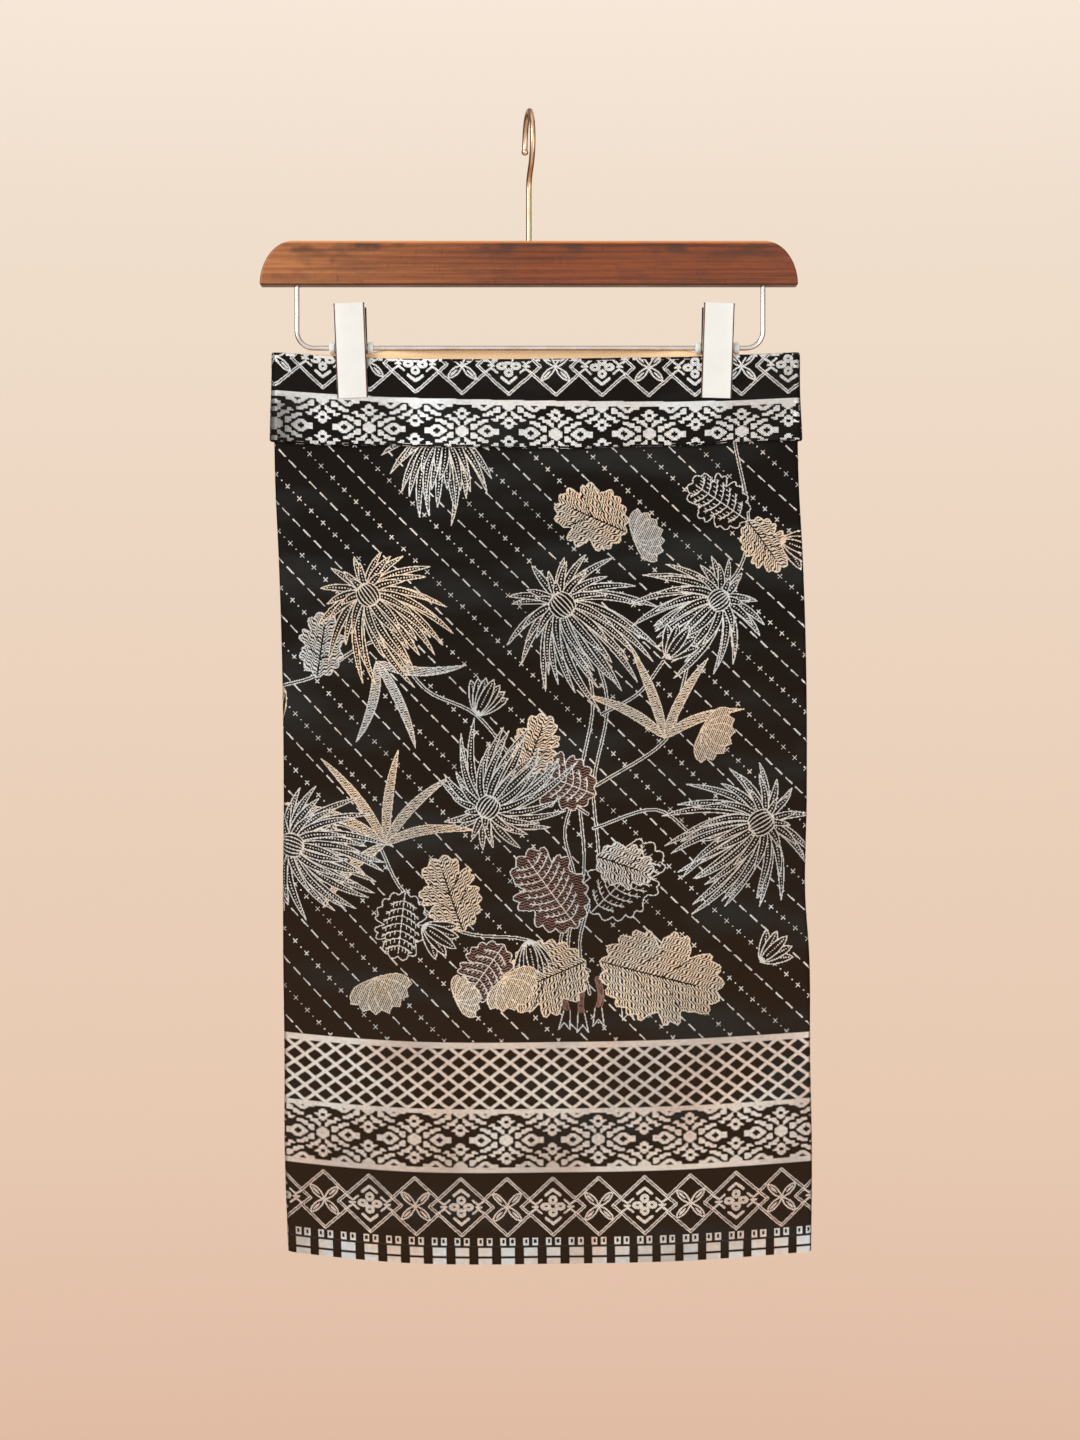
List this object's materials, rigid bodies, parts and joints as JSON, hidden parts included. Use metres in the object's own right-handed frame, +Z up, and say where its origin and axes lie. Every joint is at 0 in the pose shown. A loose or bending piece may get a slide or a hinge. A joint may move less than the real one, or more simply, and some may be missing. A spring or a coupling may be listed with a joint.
{
  "type": "pre-tied samping on a wooden clip hanger",
  "caption": "Short flattened tube sarong of dark patterned brocade with a deep waist tuck, clipped by its waist to a wooden hanger with a wire bar and hook.",
  "frame": {"origin": "under the crown of the hanger's hook, where it rests on a rail", "axes": "+Z up, the front of the cloth faces -Y, +X to the viewer's right"},
  "size_m": [0.3901, 0.048, 0.8155],
  "materials": {
    "cloth": "matte",
    "cuff_cloth": "matte",
    "facing_cloth": "matte",
    "wood": "satin",
    "hook_metal": "polished",
    "bar_metal": "polished",
    "clip_metal": "satin",
    "spring_steel": "satin",
    "white_plastic": "matte"
  },
  "bodies": {
    "root": {"wood_bar": "wood", "hook": "hook_metal", "wire_bar": "bar_metal", "clip_left_front": "clip_metal", "clip_left_back": "clip_metal", "clip_left_spring": "spring_steel", "clip_left_bushing_a": "white_plastic", "clip_left_bushing_b": "white_plastic", "clip_right_front": "clip_metal", "clip_right_back": "clip_metal", "clip_right_spring": "spring_steel", "clip_right_bushing_a": "white_plastic", "clip_right_bushing_b": "white_plastic", "skirt_front": "cloth", "cuff_front": "cuff_cloth", "facing_front": "facing_cloth", "skirt_back": "cloth", "cuff_back": "cuff_cloth", "facing_back": "facing_cloth"}
  },
  "joints": []
}
